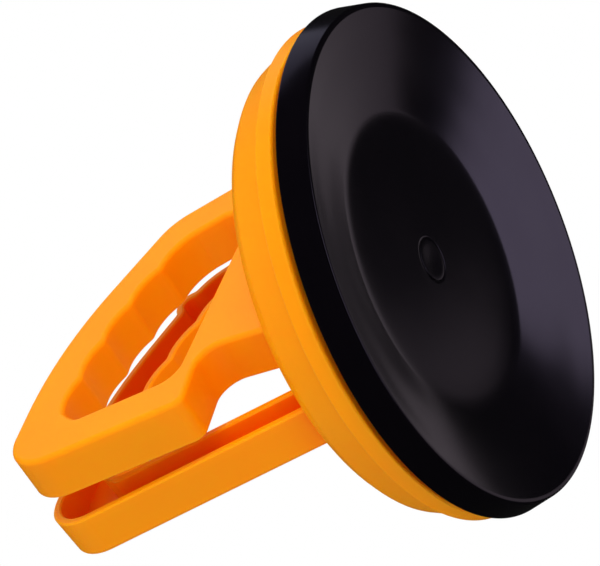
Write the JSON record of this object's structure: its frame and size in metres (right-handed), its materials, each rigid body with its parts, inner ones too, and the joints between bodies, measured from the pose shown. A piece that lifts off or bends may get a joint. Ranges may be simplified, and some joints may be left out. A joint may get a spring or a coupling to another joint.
{
  "type": "suction cup lifter",
  "caption": "Hand-held vacuum suction cup: a round rubber cup in an orange moulded body with a fixed grip and a hinged squeeze lever that lifts the middle of the rubber.",
  "frame": {"origin": "on the cup's axis, in the plane of the sealing rim", "axes": "+Z along the cup's axis from the rubber to the grips; +X along the grips towards their nose; +Y from the fixed grip to the squeeze lever"},
  "size_m": [0.1178, 0.1178, 0.0928],
  "materials": {
    "orange_plastic": "satin, moulded ABS",
    "black_rubber": "smooth, moulded rubber",
    "zinc_steel": "bright zinc plated, turned",
    "spring_steel": "stamped spring steel",
    "nylon": "natural nylon"
  },
  "bodies": {
    "cup_body": {"handle_body": "orange_plastic", "rubber_cup": "black_rubber", "hinge_pin": "zinc_steel", "hinge_pin_clip": "spring_steel", "hinge_washer_left": "nylon", "hinge_washer_right": "nylon"},
    "lever": {"squeeze_lever": "orange_plastic"},
    "stud": {"lift_stud": "zinc_steel", "spreader_disc": "zinc_steel", "centre_plug": "black_rubber", "lift_pin": "zinc_steel", "lift_pin_clip": "spring_steel", "lift_washer_left": "nylon", "lift_washer_right": "nylon"}
  },
  "joints": [
    {"name": "lever_squeeze", "type": "hinge", "parent": "cup_body", "child": "lever", "pos_m": [0, -0.018, 0.03], "axis": [1, 0, 0], "range_deg": [0, 6], "stiffness_Nm_per_rad": 3},
    {"name": "stud_lift", "type": "slide", "parent": "cup_body", "child": "stud", "axis": [0, 0, 1], "range_m": [0, 0.0019]}
  ],
  "couplings": [
    {"joint": "stud_lift", "follows": "lever_squeeze", "m_per_rad": 0.018}
  ]
}
